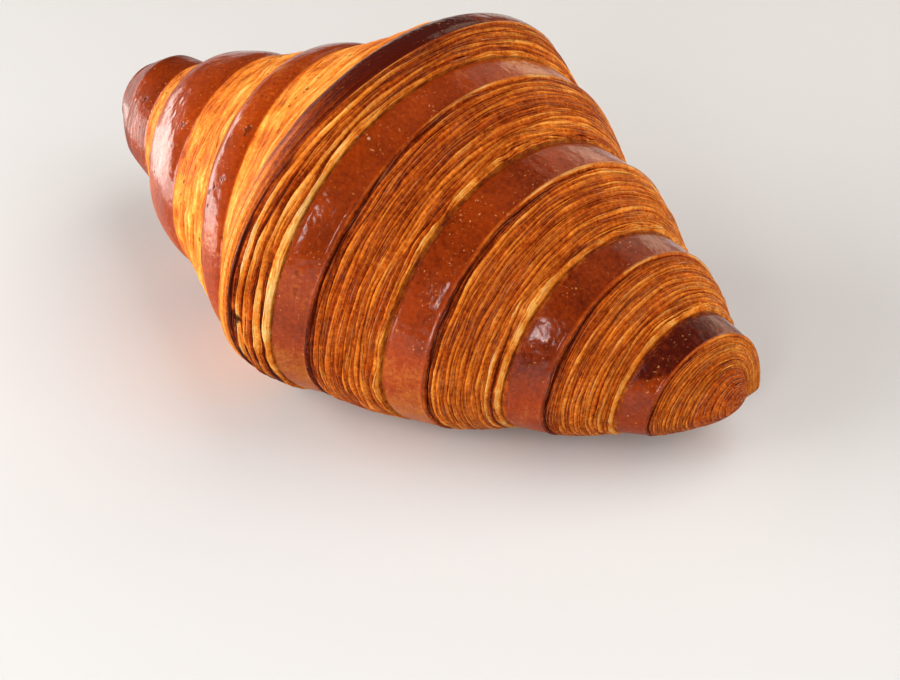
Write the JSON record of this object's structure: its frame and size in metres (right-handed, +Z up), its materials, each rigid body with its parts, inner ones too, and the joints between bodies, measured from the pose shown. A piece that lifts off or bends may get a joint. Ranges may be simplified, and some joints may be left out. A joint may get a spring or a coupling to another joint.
{
  "type": "butter croissant",
  "caption": "Baked butter croissant, a long roll of layered dough with stepped spiral turns that taper to a low tip and a raised tip.",
  "frame": {"origin": "centre of the bounding box's bottom face, on the flat underside's plane", "axes": "+X along the roll to the low tip, +Z up, -Y to the bulging front"},
  "size_m": [0.151, 0.089, 0.0658],
  "materials": {
    "crust": "baked, egg-washed crust, satin to glossy"
  },
  "bodies": {
    "root": {"croissant": "crust"}
  },
  "joints": []
}
